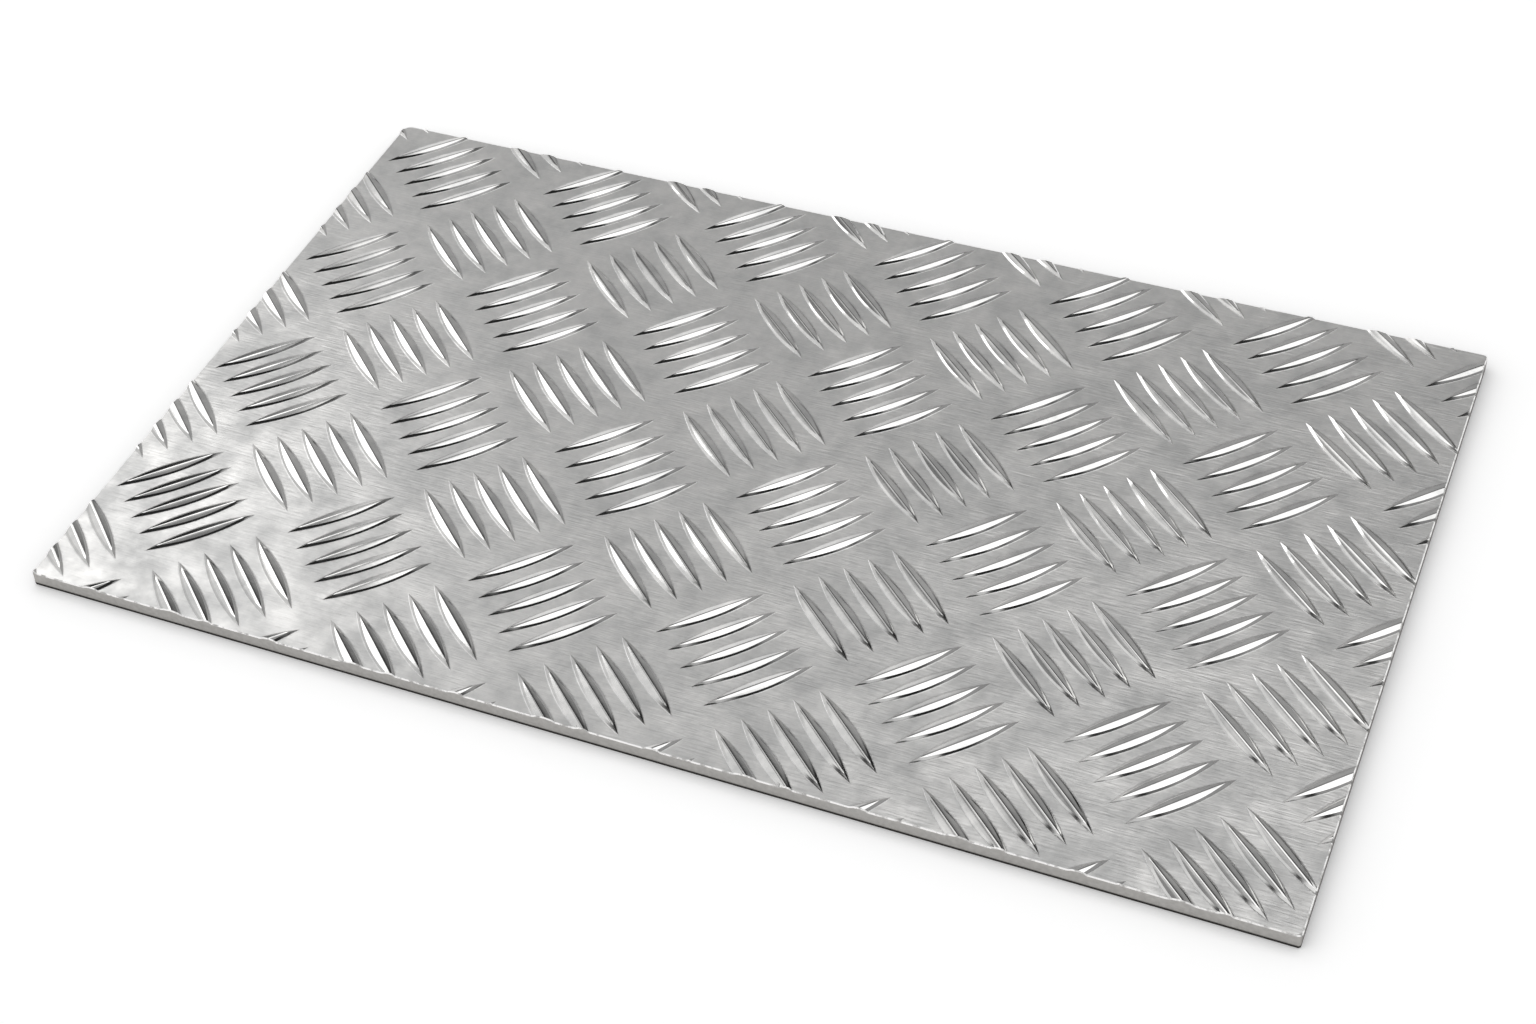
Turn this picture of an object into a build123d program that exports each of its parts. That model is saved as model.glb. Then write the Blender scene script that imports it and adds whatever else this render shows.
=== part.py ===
from build123d import *
import math
import os

# Aluminium tread plate: one sheet, rolled with raised bars in groups of five and sheared to size.
# Millimetres, +Z up. The origin is the middle of the underside, X runs along the long edges
# and +Y points to the back edge.

# Sheared sheet
plate_length = 350.0
plate_width = 225.0
ground_thickness = 4.5     # the sheet between its bars
front_corner_radius = 0.8
back_right_radius = 1.3
back_left_radius = 2.8     # the most rubbed corner
edge_break = 0.3           # filed off the lower edges and the lower corners

# One raised bar, a long lens that stands on the sheet, with a low ridge along its back
bar_length = 31.0
bar_width = 4.4
bar_height = 0.65
back_length = 25.0         # the smooth back between the flanks, from tip to tip
back_width = 3.5
back_drop = 0.35           # from the ridge down to the top of a flank, at the bar's middle
crown_radius = 900.0       # the back bows along its length
cuts_to_middle = 2         # straight cuts that make up each arc of the lens, tip to middle
root_depth = 0.3           # how deep the bar's solid runs into the sheet

# Rolled pattern: a chequerboard of groups, each turned a right angle from the next
bars_per_group = 5
bar_spacing = 7.4
group_pitch = 55.4         # between groups that lean the same way, along X and along Y
diagonal = 45.0
pattern_turn = 2.3         # the bars lean this much past the diagonal
pattern_x = 16.3           # centre of one group, from the middle of the sheet
pattern_y = -16.8


def lens_corners(length, width):
    """Corners of a lens along X: two shallow arcs in straight cuts, from tip to tip."""
    half = length / 2
    arc_radius = (half**2 + (width / 2) ** 2) / width
    corners = [(-half, 0.0), (half, 0.0)]
    for cut in range(1 - cuts_to_middle, cuts_to_middle):
        x = half * cut / cuts_to_middle
        y = math.sqrt(arc_radius**2 - x**2) - arc_radius + width / 2
        corners += [(x, y), (x, -y)]
    return corners


def tread_bar():
    """One bar along X, with the sheet's face at Z = 0: flanks, hips and a ridged, bowed back."""
    foot = lens_corners(bar_length, bar_width)
    back = lens_corners(back_length, back_width)
    slope = back_drop / (back_width / 2)
    root = [(x, y, -root_depth) for x, y in foot]
    toe = [(x, y, 0.0) for x, y in foot]
    back += [(x, 0.0) for x, y in back if y > 0]
    crown = [(x, y, bar_height - x**2 / (2 * crown_radius) - slope * abs(y)) for x, y in back]
    return ConvexPolyhedron(root + toe + crown)


def group_places():
    """Centre and angle of every group that can reach the sheet, both ways of leaning."""
    reach = bar_length / 2 + bar_spacing * bars_per_group / 2
    places = []
    for shift, angle in ((0.0, diagonal), (group_pitch / 2, -diagonal)):
        start_x, start_y = pattern_x + shift, pattern_y + shift
        columns = range(
            math.ceil((-plate_length / 2 - reach - start_x) / group_pitch),
            math.floor((plate_length / 2 + reach - start_x) / group_pitch) + 1,
        )
        rows = range(
            math.ceil((-plate_width / 2 - reach - start_y) / group_pitch),
            math.floor((plate_width / 2 + reach - start_y) / group_pitch) + 1,
        )
        for column in columns:
            for row in rows:
                centre = (start_x + column * group_pitch, start_y + row * group_pitch)
                places.append((centre, angle + pattern_turn))
    return places


def bar_places():
    """Place of every bar that touches the sheet, on the sheet's upper face."""
    places = []
    for (x, y), angle in group_places():
        along = math.radians(angle)
        half_x = bar_length / 2 * abs(math.cos(along))
        half_y = bar_length / 2 * abs(math.sin(along))
        for index in range(bars_per_group):
            offset = (index - (bars_per_group - 1) / 2) * bar_spacing
            bar_x = x - offset * math.sin(along)
            bar_y = y + offset * math.cos(along)
            inside_x = abs(bar_x) - half_x < plate_length / 2
            inside_y = abs(bar_y) - half_y < plate_width / 2
            if inside_x and inside_y:
                places.append(Pos(bar_x, bar_y, ground_thickness) * Rot(0, 0, angle))
    return places


def rolled_sheet():
    """The sheet before it is sheared, a bar's length larger all round."""
    sheet = Box(
        plate_length + 2 * bar_length,
        plate_width + 2 * bar_length,
        ground_thickness,
        align=(Align.CENTER, Align.CENTER, Align.MIN),
    )
    bar = tread_bar()
    return sheet + [place * bar for place in bar_places()]


def sheared_outline():
    """The block that the shears leave, with its corners and lower edges broken."""
    outline = Rectangle(plate_length, plate_width)
    front = outline.vertices().group_by(Axis.Y)[0]
    outline = fillet(front, front_corner_radius)
    back_left = outline.vertices().group_by(Axis.Y)[-1].sort_by(Axis.X)[0]
    outline = fillet(back_left, back_left_radius)
    back_right = outline.vertices().group_by(Axis.Y)[-1].sort_by(Axis.X)[-1]
    outline = fillet(back_right, back_right_radius)
    block = extrude(outline, ground_thickness + 2 * bar_height)
    return chamfer(block.edges().group_by(Axis.Z)[0], edge_break)


os.makedirs("parts", exist_ok=True)
tread_plate = rolled_sheet() & sheared_outline()
export_step(tread_plate, "parts/tread_plate.step")
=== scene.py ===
import math

import bmesh
import bpy
from mathutils import Matrix, Quaternion, Vector


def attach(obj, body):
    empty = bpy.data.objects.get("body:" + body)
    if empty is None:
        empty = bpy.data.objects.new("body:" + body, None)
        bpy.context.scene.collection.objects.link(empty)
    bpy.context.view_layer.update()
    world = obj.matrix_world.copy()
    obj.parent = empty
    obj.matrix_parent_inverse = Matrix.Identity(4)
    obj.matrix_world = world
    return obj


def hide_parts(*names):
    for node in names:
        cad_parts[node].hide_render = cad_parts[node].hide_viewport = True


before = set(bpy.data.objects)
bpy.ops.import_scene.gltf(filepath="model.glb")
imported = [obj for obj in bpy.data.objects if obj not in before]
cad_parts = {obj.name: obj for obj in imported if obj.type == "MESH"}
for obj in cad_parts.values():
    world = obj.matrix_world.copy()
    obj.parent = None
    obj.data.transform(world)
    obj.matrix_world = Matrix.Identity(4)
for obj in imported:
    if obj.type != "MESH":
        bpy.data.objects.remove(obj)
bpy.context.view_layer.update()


# Rolled sheet. An aluminium sheet leaves the mill through an engraved roll, which raises groups of
# five slim bars out of the sheet's own metal. The shape below is in millimetres, with Z = 0 on the
# ground between the bars, and larger than the finished piece, because it is sheared afterwards.

MM = 0.001                  # metres in a millimetre
sheet_length = 350.0
sheet_width = 225.0
sheet_thickness = 4.5
bar_length = 31.0
bar_width = 4.4
bar_height = 0.65
back_length = 25.5
back_width = 3.3
back_slope = 0.21           # the back falls off on both sides of its ridge
ridge_softness = 0.3        # half width over which the ridge is rounded
crown_radius = 900.0        # the back bows along the bar
bars_per_group = 5
bar_spacing = 7.4
group_pitch = 55.4
diagonal = 45.0
pattern_turn = 2.3
pattern_x = 16.3
pattern_y = -16.8
reach_share = 0.38          # a leaning bar's half extent along X or Y, as a share of its length
steps_along_bar = 16        # points from tip to tip
weld_distance = 0.004       # points closer than this become one
spare_margin = 45.0         # sheet rolled past each side, and cut off later

# One bar's section, from the ground to the ridge. Each ring is a lens: first on the toe outside the
# bar's outline, where the metal starts to rise, then on the flank, then on the back.
toe_spread = 0.4            # how far outside the outline the rise starts
toe_stretch = 2.0           # and how much further at the tips
toe_rise = 0.13             # share of the height that is reached at the outline
toe_rings = (1.0, 0.5, 0.2)     # shares of the spread
flank_rings = (             # way from the outline to the back's edge, and share of the rise left
    (0.0, 0.0),
    (0.5, 0.52),
    (1.0, 1.0),
)
back_rings = (0.6, 0.28, 0.14, 0.05, 0.0)       # shares of the back's width


def bar_rings():
    """Half length, half width and share of the height of each ring, from the ground to the ridge."""
    rings = []
    for share in toe_rings:
        spread = toe_spread * share
        rise = toe_rise * (1 - share) ** 2
        rings.append((bar_length / 2 + spread * toe_stretch, bar_width / 2 + spread, rise))
    for way, share in flank_rings:
        half_length = (bar_length + (back_length - bar_length) * way) / 2
        half_width = (bar_width + (back_width - bar_width) * way) / 2
        rings.append((half_length, half_width, toe_rise + (1 - toe_rise) * share))
    for share in back_rings:
        rings.append((back_length / 2, back_width / 2 * share, 1.0))
    return rings


def back_height(x, y):
    """Height of the bar's back over the ground."""
    fall = back_slope * (math.hypot(y, ridge_softness) - ridge_softness)
    return bar_height - x**2 / (2 * crown_radius) - fall


def one_bar():
    """One bar along X, open below, from rings that meet along the ridge."""
    bm = bmesh.new()
    for side in (1, -1):
        rows = []
        for half_length, half_width, rise in bar_rings():
            row = []
            for step in range(steps_along_bar + 1):
                along = 2 * step / steps_along_bar - 1
                bulge = side * (1 - along**2)
                on_back_x = min(half_length, back_length / 2) * along
                on_back_y = min(half_width, back_width / 2) * bulge
                z = rise * back_height(on_back_x, on_back_y)
                row.append(bm.verts.new((half_length * along, half_width * bulge, z)))
            rows.append(row)
        for lower, upper in zip(rows, rows[1:]):
            for step in range(steps_along_bar):
                bm.faces.new((lower[step], lower[step + 1], upper[step + 1], upper[step]))
    bmesh.ops.remove_doubles(bm, verts=bm.verts[:], dist=weld_distance)
    mesh = bpy.data.meshes.new("tread_bar")
    bm.to_mesh(mesh)
    bm.free()
    return bpy.data.objects.new("tread_bar", mesh)


def add(tree, kind, inputs=(), **settings):
    """Adds a node with its settings. An input takes a value, a socket or a node's first output."""
    node = tree.nodes.new(kind)
    for name, value in settings.items():
        setattr(node, name, value)
    for key, value in dict(inputs).items():
        if isinstance(value, bpy.types.Node):
            value = value.outputs[0]
        if isinstance(value, bpy.types.NodeSocket):
            tree.links.new(value, node.inputs[key])
        else:
            node.inputs[key].default_value = value
    return node


def tread_tree():
    """Geometry Nodes that repeat one bar on the roll's lattice and weld the ground to the bars."""
    tree = bpy.data.node_groups.new("rolled_tread", "GeometryNodeTree")
    kinds = {
        "Bar": "Object",
        "Bars": "Int",
        "Columns": "Int",
        "Rows": "Int",
        "Lattice Length": "Float",
        "Lattice Width": "Float",
        "First Bar": "Vector",
        "Next Bar": "Vector",
        "Reach": "Vector",
        "Rolled Length": "Float",
        "Rolled Width": "Float",
        "Right Centre": "Vector",
        "Right Turn": "Vector",
        "Left Centre": "Vector",
        "Left Turn": "Vector",
        "Finish": "Material",
    }
    for name, kind in kinds.items():
        tree.interface.new_socket(name, in_out="INPUT", socket_type="NodeSocket" + kind)
    tree.interface.new_socket("Mesh", in_out="OUTPUT", socket_type="NodeSocketGeometry")
    given = tree.nodes.new("NodeGroupInput").outputs
    bar = add(tree, "GeometryNodeObjectInfo", {"Object": given["Bar"]})

    # A chequerboard of groups: those that lean right on one lattice, those that lean left between.
    groups = add(
        tree,
        "GeometryNodeMeshGrid",
        {
            "Size X": given["Lattice Length"],
            "Size Y": given["Lattice Width"],
            "Vertices X": given["Columns"],
            "Vertices Y": given["Rows"],
        },
    )
    group = add(
        tree,
        "GeometryNodeMeshLine",
        {"Count": given["Bars"], "Start Location": given["First Bar"], "Offset": given["Next Bar"]},
    )
    place = add(tree, "GeometryNodeInputPosition")
    distance = add(tree, "ShaderNodeVectorMath", {0: place}, operation="ABSOLUTE")
    touching = add(
        tree,
        "FunctionNodeCompare",
        {"A": distance, "B": given["Reach"]},
        data_type="VECTOR",
        mode="ELEMENT",
        operation="LESS_THAN",
    )
    tread = add(tree, "GeometryNodeJoinGeometry")
    for lean in ("Right", "Left"):
        turn = given[lean + " Turn"]
        centres = add(
            tree,
            "GeometryNodeTransform",
            {"Geometry": groups, "Translation": given[lean + " Centre"]},
        )
        lines = add(
            tree,
            "GeometryNodeInstanceOnPoints",
            {"Points": centres, "Instance": group, "Rotation": turn},
        )
        places = add(tree, "GeometryNodeRealizeInstances", {0: lines})
        bars = add(
            tree,
            "GeometryNodeInstanceOnPoints",
            {
                "Points": places,
                "Selection": touching,
                "Instance": bar.outputs["Geometry"],
                "Rotation": turn,
            },
        )
        tree.links.new(bars.outputs[0], tread.inputs[0])
    tread = add(tree, "GeometryNodeRealizeInstances", {0: tread})

    # The ground is a flat sheet with a hole for each bar.
    faces_at_edge = add(tree, "GeometryNodeInputMeshEdgeNeighbors")
    open_edge = add(
        tree,
        "FunctionNodeCompare",
        {2: faces_at_edge, 3: 1},
        data_type="INT",
        operation="EQUAL",
    )
    rim = add(tree, "GeometryNodeMeshToCurve", {"Mesh": tread, "Selection": open_edge})
    rectangle = add(
        tree,
        "GeometryNodeCurvePrimitiveQuadrilateral",
        {"Width": given["Rolled Length"], "Height": given["Rolled Width"]},
    )
    outlines = add(tree, "GeometryNodeJoinGeometry", {0: rim})
    tree.links.new(rectangle.outputs[0], outlines.inputs[0])
    ground = add(tree, "GeometryNodeFillCurve", {"Curve": outlines}, mode="TRIANGLES")
    whole = add(tree, "GeometryNodeJoinGeometry", {0: ground})
    tree.links.new(tread.outputs[0], whole.inputs[0])
    welded = add(tree, "GeometryNodeMergeByDistance", {"Geometry": whole, "Distance": weld_distance})
    realized = add(tree, "GeometryNodeRealizeInstances", {0: welded})
    finished = add(tree, "GeometryNodeSetMaterial", {"Geometry": realized, "Material": given["Finish"]})
    add(tree, "NodeGroupOutput", {"Mesh": finished})
    return tree


def linear(hex_colour):
    """An sRGB hex colour as linear RGBA."""
    channels = []
    for place in (1, 3, 5):
        value = int(hex_colour[place:place + 2], 16) / 255
        channels.append(value / 12.92 if value <= 0.04045 else ((value + 0.055) / 1.055) ** 2.4)
    return (*channels, 1.0)


def mill_finish():
    """Aluminium in mill finish. The roll leaves the ground satin, with cloudy patches, slight waves
    and fine drag marks in several directions, and burnishes the bars nearly to a mirror."""
    cloud_size = 10.0 * MM
    cloud_low = 0.33                # range of the noise that the clouds use
    cloud_high = 0.67
    dull_roughness = 0.40           # of the ground, from its dull to its bright clouds
    bright_roughness = 0.32
    burnished_roughness = 0.09
    burnished_from = 0.04           # shares of a bar's height over which the finish changes
    burnished_to = 0.16
    wave_size = 9.0 * MM
    wave_depth = 0.04 * MM
    mark_length = 7.0 * MM
    mark_width = 0.8 * MM           # real drag marks are hair fine; they are drawn this wide to show
    mark_depth = 0.04 * MM
    mark_turns = (20.0, 75.0, 140.0)
    relief_on_bars = 0.04           # share of the waves and marks that the bars keep

    material = bpy.data.materials.new("mill_finish_aluminium")
    material.use_nodes = True
    tree = material.node_tree
    shader = tree.nodes["Principled BSDF"]
    shader.inputs["Metallic"].default_value = 1.0
    place = tree.nodes.new("ShaderNodeTexCoord").outputs["Object"]
    height = add(tree, "ShaderNodeSeparateXYZ", {0: place})
    raised = add(
        tree,
        "ShaderNodeMapRange",
        {
            "Value": height.outputs["Z"],
            "From Min": (sheet_thickness + burnished_from * bar_height) * MM,
            "From Max": (sheet_thickness + burnished_to * bar_height) * MM,
        },
    )
    cloud = add(
        tree,
        "ShaderNodeTexNoise",
        {"Vector": place, "Scale": 1 / cloud_size, "Detail": 8.0, "Roughness": 0.6},
    )
    patchy = add(
        tree,
        "ShaderNodeMapRange",
        {"Value": cloud, "From Min": cloud_low, "From Max": cloud_high},
    )
    colour = add(
        tree,
        "ShaderNodeMix",
        {0: patchy, 6: linear("#D0D0CF"), 7: linear("#F2F1EF")},
        data_type="RGBA",
    )
    tree.links.new(colour.outputs[2], shader.inputs["Base Color"])
    satin = add(
        tree,
        "ShaderNodeMapRange",
        {"Value": patchy, "To Min": dull_roughness, "To Max": bright_roughness},
    )
    rough = add(
        tree,
        "ShaderNodeMix",
        {0: raised, 2: satin, 3: burnished_roughness},
        data_type="FLOAT",
    )
    tree.links.new(rough.outputs[0], shader.inputs["Roughness"])

    marks = 0.0
    for turn in mark_turns:
        mapped = add(
            tree,
            "ShaderNodeMapping",
            {
                "Vector": place,
                "Rotation": (0.0, 0.0, math.radians(turn)),
                "Scale": (1 / mark_length, 1 / mark_width, 0.0),
            },
        )
        streak = add(
            tree,
            "ShaderNodeTexNoise",
            {"Vector": mapped, "Scale": 1.0, "Distortion": 0.3},
        )
        marks = add(tree, "ShaderNodeMath", {0: streak, 1: marks}, operation="ADD")
    wave = add(
        tree,
        "ShaderNodeTexNoise",
        {"Vector": place, "Scale": 1 / wave_size, "Detail": 3.0},
    )
    relief = add(
        tree,
        "ShaderNodeMapRange",
        {"Value": raised, "To Min": 1.0, "To Max": relief_on_bars},
    )
    wavy = add(
        tree,
        "ShaderNodeBump",
        {"Height": wave, "Strength": relief, "Distance": wave_depth},
    )
    marked = add(
        tree,
        "ShaderNodeBump",
        {"Height": marks, "Strength": relief, "Distance": mark_depth, "Normal": wavy},
    )
    tree.links.new(marked.outputs[0], shader.inputs["Normal"])
    return material


group_reach = bar_length / 2 + bar_spacing * bars_per_group / 2
columns = 2 * math.ceil((sheet_length / 2 + group_reach) / group_pitch) + 1
rows = 2 * math.ceil((sheet_width / 2 + group_reach) / group_pitch) + 1
bar_reach = reach_share * bar_length
between = group_pitch / 2
mill_finish_aluminium = mill_finish()
tread_bar = one_bar()
bpy.context.scene.collection.objects.link(tread_bar)
tread_sizes = {
    "Bar": tread_bar,
    "Bars": bars_per_group,
    "Columns": columns,
    "Rows": rows,
    "Lattice Length": (columns - 1) * group_pitch,
    "Lattice Width": (rows - 1) * group_pitch,
    "First Bar": (0.0, (1 - bars_per_group) / 2 * bar_spacing, 0.0),
    "Next Bar": (0.0, bar_spacing, 0.0),
    "Reach": (sheet_length / 2 + bar_reach, sheet_width / 2 + bar_reach, bar_height),
    "Rolled Length": sheet_length + 2 * spare_margin,
    "Rolled Width": sheet_width + 2 * spare_margin,
    "Right Centre": (pattern_x, pattern_y, 0.0),
    "Right Turn": (0.0, 0.0, math.radians(diagonal + pattern_turn)),
    "Left Centre": (pattern_x + between, pattern_y + between, 0.0),
    "Left Turn": (0.0, 0.0, math.radians(pattern_turn - diagonal)),
    "Finish": mill_finish_aluminium,
}
rolled = bpy.data.objects.new("rolled_tread", bpy.data.meshes.new("rolled_tread"))
bpy.context.scene.collection.objects.link(rolled)
modifier = rolled.modifiers.new("tread", "NODES")
modifier.node_group = tread_tree()
for socket in modifier.node_group.interface.items_tree:
    if socket.name in tread_sizes:
        modifier[socket.identifier] = tread_sizes[socket.name]
bpy.context.view_layer.update()
evaluated = rolled.evaluated_get(bpy.context.evaluated_depsgraph_get())
rolled_mesh = bpy.data.meshes.new_from_object(evaluated)
bpy.data.objects.remove(rolled)
bpy.data.objects.remove(tread_bar)


# Sheared outline. The shears cut through ground and bars alike, so each edge shows the section of
# the bars that it crosses. The upper edge has a small rubbed arris, the corners are filed or rubbed
# round and the lower edge is broken.

arris = 0.3
edge_break = 0.3
cut_tolerance = weld_distance / 20
corner_steps = 6            # cuts that round off a corner
corner_radii = {            # by the signs of X and Y
    (-1, -1): 0.8,
    (1, -1): 0.8,
    (1, 1): 1.3,
    (-1, 1): 2.8,
}
sharp_angle = 15.0          # degrees past which an edge shows as an edge
mill_slot = 0
sheared_slot = 1
arris_slot = 2


def sheared_side():
    """Sheared aluminium: a grey, slightly torn surface, nearly black at the bottom, partly where it
    broke away and partly painted shade where the sheet meets the floor. A torn surface doesn't brighten
    at a grazing view as a smooth one does."""
    grain_size = 1.2 * MM
    torn_band_and_shade_to = 0.8 * MM              # height of the torn band and its painted shade, and where it has faded out
    torn_band_and_shade_out = 1.2 * MM

    material = bpy.data.materials.new("sheared_aluminium")
    material.use_nodes = True
    tree = material.node_tree
    shader = tree.nodes["Principled BSDF"]
    shader.inputs["Metallic"].default_value = 1.0
    shader.inputs["Roughness"].default_value = 0.5
    shader.inputs["Specular Tint"].default_value = linear("#8C8A88")
    place = tree.nodes.new("ShaderNodeTexCoord").outputs["Object"]
    grain = add(
        tree,
        "ShaderNodeTexNoise",
        {"Vector": place, "Scale": 1 / grain_size, "Detail": 4.0},
    )
    colour = add(
        tree,
        "ShaderNodeMix",
        {0: grain.outputs[0], 6: linear("#A8A6A3"), 7: linear("#CAC8C5")},
        data_type="RGBA",
    )
    height = add(tree, "ShaderNodeSeparateXYZ", {0: place})
    # Painted shade: the bottom band is painted nearly black, partly the torn break and partly the shade
    # where the sheet meets the floor.
    torn_band_and_shade = add(
        tree,
        "ShaderNodeMapRange",
        {"Value": height.outputs["Z"], "From Min": torn_band_and_shade_to, "From Max": torn_band_and_shade_out},
    )
    torn_band_and_shade_colour = add(
        tree,
        "ShaderNodeMix",
        {0: torn_band_and_shade, 6: linear("#3A3836"), 7: colour.outputs[2]},
        data_type="RGBA",
    )
    tree.links.new(torn_band_and_shade_colour.outputs[2], shader.inputs["Base Color"])
    return material


def rubbed_arris():
    """The aluminium of the upper arris, rubbed bright by handling, with small dull nicks."""
    nick_size = 2.5 * MM
    nick_low = 0.36                 # range of the noise over which a nick fades out
    nick_high = 0.5

    material = bpy.data.materials.new("rubbed_aluminium_arris")
    material.use_nodes = True
    tree = material.node_tree
    shader = tree.nodes["Principled BSDF"]
    shader.inputs["Metallic"].default_value = 1.0
    shader.inputs["Roughness"].default_value = 0.25
    place = tree.nodes.new("ShaderNodeTexCoord").outputs["Object"]
    nicks = add(
        tree,
        "ShaderNodeTexNoise",
        {"Vector": place, "Scale": 1 / nick_size, "Detail": 3.0},
    )
    worn = add(
        tree,
        "ShaderNodeMapRange",
        {"Value": nicks, "From Min": nick_low, "From Max": nick_high},
    )
    colour = add(
        tree,
        "ShaderNodeMix",
        {0: worn, 6: linear("#B4B3B1"), 7: linear("#F8F7F6")},
        data_type="RGBA",
    )
    tree.links.new(colour.outputs[2], shader.inputs["Base Color"])
    return material


def outward(x, y):
    """Unit direction out of the sheet at a point of its outline."""
    corner = (1 if x > 0 else -1, 1 if y > 0 else -1)
    radius = corner_radii[corner]
    beyond_x = abs(x) - (sheet_length / 2 - radius)
    beyond_y = abs(y) - (sheet_width / 2 - radius)
    if beyond_x > 0 and beyond_y > 0:
        return Vector((corner[0] * beyond_x, corner[1] * beyond_y, 0)).normalized()
    if beyond_x > beyond_y:
        return Vector((corner[0], 0, 0))
    return Vector((0, corner[1], 0))


def cut(bm, faces, point, direction):
    """Cuts away what lies past a plane. The dict keeps its order, so each run gives one mesh."""
    geometry = dict.fromkeys(faces)
    for face in faces:
        geometry.update(dict.fromkeys(face.verts))
        geometry.update(dict.fromkeys(face.edges))
    bmesh.ops.bisect_plane(
        bm,
        geom=list(geometry),
        dist=cut_tolerance,
        plane_co=point,
        plane_no=direction,
        clear_outer=True,
    )


def pull_rim(bm, move, slot):
    """Grows a band of faces from the open rim, in a material slot, and moves its free side."""
    rim = [edge for edge in bm.edges if edge.is_boundary]
    grown = bmesh.ops.extrude_edge_only(bm, edges=rim)["geom"]
    for item in grown:
        if isinstance(item, bmesh.types.BMVert):
            item.co = move(item.co)
        elif isinstance(item, bmesh.types.BMFace):
            item.material_index = slot


def on_ground(face):
    """Whether a face is flat ground between the bars."""
    return all(abs(vert.co.z) < weld_distance for vert in face.verts)


bm = bmesh.new()
bm.from_mesh(rolled_mesh)
for face in bm.faces:
    face.material_index = mill_slot
for axis, reach in ((0, sheet_length), (1, sheet_width)):
    for sign in (1, -1):
        direction = Vector((0, 0, 0))
        direction[axis] = sign
        cut(bm, bm.faces[:], direction * (reach / 2 - arris), direction)
for (side_x, side_y), radius in corner_radii.items():
    centre = Vector((side_x * (sheet_length / 2 - radius), side_y * (sheet_width / 2 - radius), 0))
    for step in range(corner_steps):
        angle = math.radians(90 * (step + 0.5) / corner_steps)
        direction = Vector((side_x * math.cos(angle), side_y * math.sin(angle), 0))
        beyond = [
            face
            for face in bm.faces
            if any((vert.co - centre).dot(direction) > 0 for vert in face.verts)
        ]
        cut(bm, beyond, centre + direction * (radius - arris), direction)

down = Vector((0, 0, -1))
pull_rim(bm, lambda co: co + outward(co.x, co.y) * arris + down * arris, arris_slot)
pull_rim(bm, lambda co: Vector((co.x, co.y, edge_break - sheet_thickness)), sheared_slot)
pull_rim(bm, lambda co: co - outward(co.x, co.y) * edge_break + down * edge_break, sheared_slot)
rim = [edge for edge in bm.edges if edge.is_boundary]
underside = bmesh.ops.contextual_create(bm, geom=rim)["faces"]
for face in underside:
    face.material_index = mill_slot
bmesh.ops.recalc_face_normals(bm, faces=bm.faces[:])
bmesh.ops.triangulate(bm, faces=bm.faces[:])

# The flat ground is shaded flat right up to each bar's toe.
limit = math.radians(sharp_angle)
for face in bm.faces:
    face.smooth = True
for edge in bm.edges:
    one, other = edge.link_faces
    edge.smooth = on_ground(one) == on_ground(other) and edge.calc_face_angle() < limit
bm.transform(Matrix.Scale(MM, 4) @ Matrix.Translation((0, 0, sheet_thickness)))
sheet_mesh = bpy.data.meshes.new("sheared_sheet")
bm.to_mesh(sheet_mesh)
bm.free()
for finish in (mill_finish_aluminium, sheared_side(), rubbed_arris()):
    sheet_mesh.materials.append(finish)
sheet = bpy.data.objects.new("sheared_sheet", sheet_mesh)
bpy.context.scene.collection.objects.link(sheet)
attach(sheet, "root")
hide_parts("tread_plate")


# Floor. A plain pale studio floor, painted matt. Where the camera or the metal sees it, it adds a
# share of its own that brings it to white, and that share fades close to the sheet, so that the
# sheet keeps its soft shadow.

half_floor = 6000.0 * MM
floor_shown = 0.58          # strength of the share that the floor adds
shadow_reach = 16.0 * MM    # how far from the sheet that share still fades
floor_mesh = bpy.data.meshes.new("studio_floor")
floor_signs = ((-1, -1), (1, -1), (1, 1), (-1, 1))
floor_corners = [(x * half_floor, y * half_floor, 0) for x, y in floor_signs]
floor_mesh.from_pydata(floor_corners, [], [(0, 1, 2, 3)])
floor = bpy.data.objects.new("studio_floor", floor_mesh)
bpy.context.scene.collection.objects.link(floor)
floor_paint = bpy.data.materials.new("white_floor_paint")
floor_paint.use_nodes = True
tree = floor_paint.node_tree
tree.nodes.remove(tree.nodes["Principled BSDF"])
diffuse = add(tree, "ShaderNodeBsdfDiffuse", {"Color": linear("#E8E8E8")})
seen = add(tree, "ShaderNodeLightPath")
shown = add(
    tree,
    "ShaderNodeMath",
    {0: seen.outputs["Is Camera Ray"], 1: seen.outputs["Is Glossy Ray"]},
    operation="MAXIMUM",
)
near_sheet = add(tree, "ShaderNodeAmbientOcclusion", {"Distance": shadow_reach})
open_share = add(
    tree,
    "ShaderNodeMath",
    {0: near_sheet.outputs["AO"], 1: floor_shown},
    operation="MULTIPLY",
)
level = add(tree, "ShaderNodeMath", {0: shown, 1: open_share}, operation="MULTIPLY")
glow = add(tree, "ShaderNodeEmission", {"Color": linear("#FFFFFF"), "Strength": level})
both = add(tree, "ShaderNodeAddShader", {0: diffuse, 1: glow})
tree.links.new(both.outputs[0], tree.nodes["Material Output"].inputs["Surface"])
floor_mesh.materials.append(floor_paint)


# Light. A dim studio with large soft panels, each a patch of the world's sky: the brightest high
# behind the sheet, others on its left, fainter ones on its right, and pale walls behind the
# camera.

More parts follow.
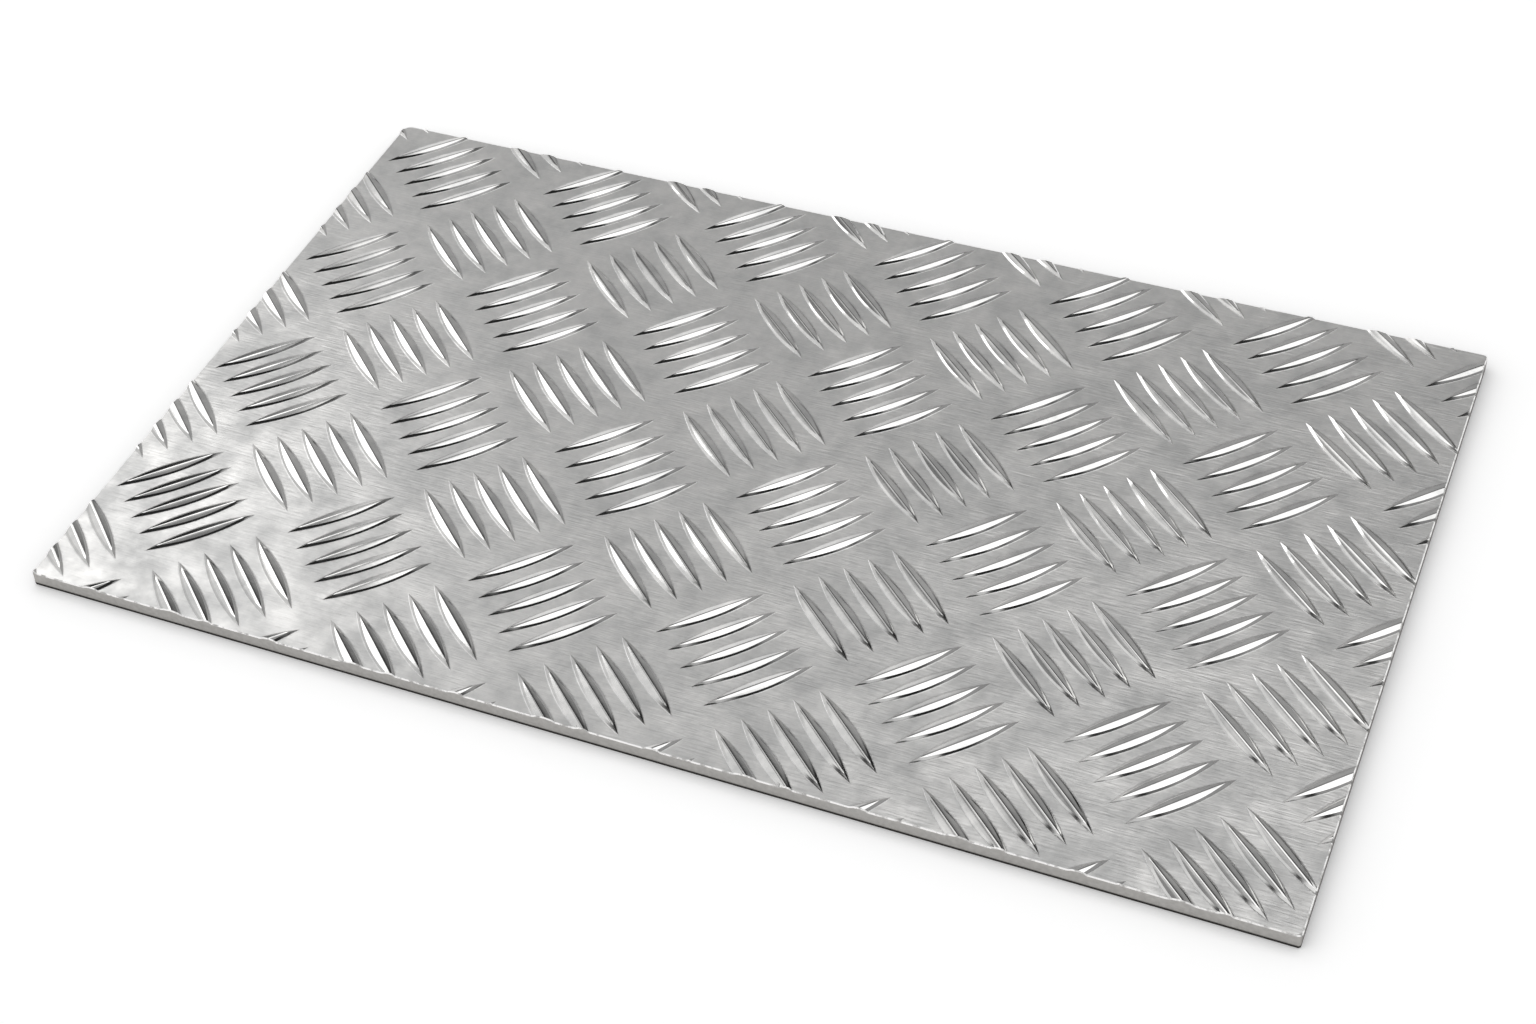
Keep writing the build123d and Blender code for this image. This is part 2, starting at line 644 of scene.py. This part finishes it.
room_level = 0.02           # of the sky between the panels
panel_edge = 7.0            # degrees over which a panel fades out
panels = {                  # from and to in azimuth, clockwise from +Y, and in elevation, and the level
    "overhead box": ((-26.5, 25.0), (48.5, 66.0), 1.4),
    "its lower lip": ((-31.5, -2.5), (45.0, 47.5), 0.9),
    "strip beside it": ((-37.5, -30.5), (41.0, 60.5), 0.75),
    "left box": ((-102.0, -42.0), (33.5, 58.5), 0.8),
    "above the left box": ((-86.5, -65.0), (50.5, 60.0), 0.3),
    "left card": ((-109.5, -61.5), (7.5, 34.0), 0.65),
    "upright strip": ((-37.5, -25.5), (-10.0, 30.5), 0.85),
    "backdrop": ((-27.0, 9.0), (2.5, 36.5), 0.37),
    "right card": ((29.5, 99.0), (13.5, 57.5), 0.33),
    "low right card": ((28.0, 62.0), (-6.0, 10.0), 1.1),
    "right ceiling": ((-24.5, 81.5), (61.5, 79.0), 0.48),
    "left ceiling": ((-62.0, -27.0), (58.0, 80.0), 0.2),
    "wall behind the camera, right": ((110.0, 190.0), (-10.0, 62.0), 0.72),
    "wall behind the camera, left": ((-190.0, -110.0), (-10.0, 62.0), 0.95),
}

world = bpy.data.worlds.new("studio")
bpy.context.scene.world = world
world.use_nodes = True
tree = world.node_tree
sky = tree.nodes.new("ShaderNodeTexCoord").outputs["Generated"]
way = add(tree, "ShaderNodeSeparateXYZ", {0: sky})
turn = add(tree, "ShaderNodeMath", {0: way.outputs["X"], 1: way.outputs["Y"]}, operation="ARCTAN2")
rise = add(tree, "ShaderNodeMath", {0: way.outputs["Z"]}, operation="ARCSINE")
level = room_level
for azimuths, elevations, strength in panels.values():
    patch = strength
    for angle, ends in ((turn, azimuths), (rise, elevations)):
        for edge, inside in zip(ends, (1, -1)):
            fade = add(
                tree,
                "ShaderNodeMapRange",
                {
                    "Value": angle,
                    "From Min": math.radians(edge - inside * panel_edge / 2),
                    "From Max": math.radians(edge + inside * panel_edge / 2),
                },
                interpolation_type="SMOOTHSTEP",
            )
            patch = add(tree, "ShaderNodeMath", {0: patch, 1: fade}, operation="MULTIPLY")
    level = add(tree, "ShaderNodeMath", {0: level, 1: patch}, operation="ADD")
background = tree.nodes["Background"]
background.inputs["Color"].default_value = linear("#FFFFFF")
tree.links.new(level.outputs[0], background.inputs["Strength"])


# Corner lamp. A soft lamp close by on the left, where the satin ground at the front left corner
# mirrors it to the camera.

lamp_place = Vector((-490.0, 286.0, 473.0)) * MM
lamp_aim = Vector((-142.0, -100.0, sheet_thickness)) * MM
lamp_size = 240.0 * MM
lamp_power = 0.24           # watts
lamp_data = bpy.data.lights.new("corner_lamp", "AREA")
lamp_data.size = lamp_size
lamp_data.energy = lamp_power
lamp = bpy.data.objects.new("corner_lamp", lamp_data)
bpy.context.scene.collection.objects.link(lamp)
lamp.location = lamp_place
lamp.rotation_euler = (lamp_aim - lamp_place).to_track_quat("-Z", "Y").to_euler()
lamp.visible_camera = False


# Camera, at the photograph's place and with its lens. The picture is cropped a little off the
# lens's axis, and the camera is turned a little about it.

camera_place = Vector((216.1, -523.2, 510.1)) * MM
aim = Vector((-24.63, -31.26, sheet_thickness)) * MM
camera_roll = -4.0
sensor_width = 36.0
lens_length = 63.36
crop_shift = 0.0753         # of the picture's width
camera_data = bpy.data.cameras.new("camera")
camera_data.sensor_width = sensor_width
camera_data.lens = lens_length
camera_data.shift_x = crop_shift
camera_data.dof.use_dof = False
camera = bpy.data.objects.new("camera", camera_data)
bpy.context.scene.collection.objects.link(camera)
camera.location = camera_place
look = (aim - camera_place).to_track_quat("-Z", "Y")
roll = Quaternion((0, 0, 1), math.radians(camera_roll))
camera.rotation_euler = (look @ roll).to_euler()
bpy.context.scene.camera = camera
bpy.context.scene.view_settings.view_transform = "Standard"
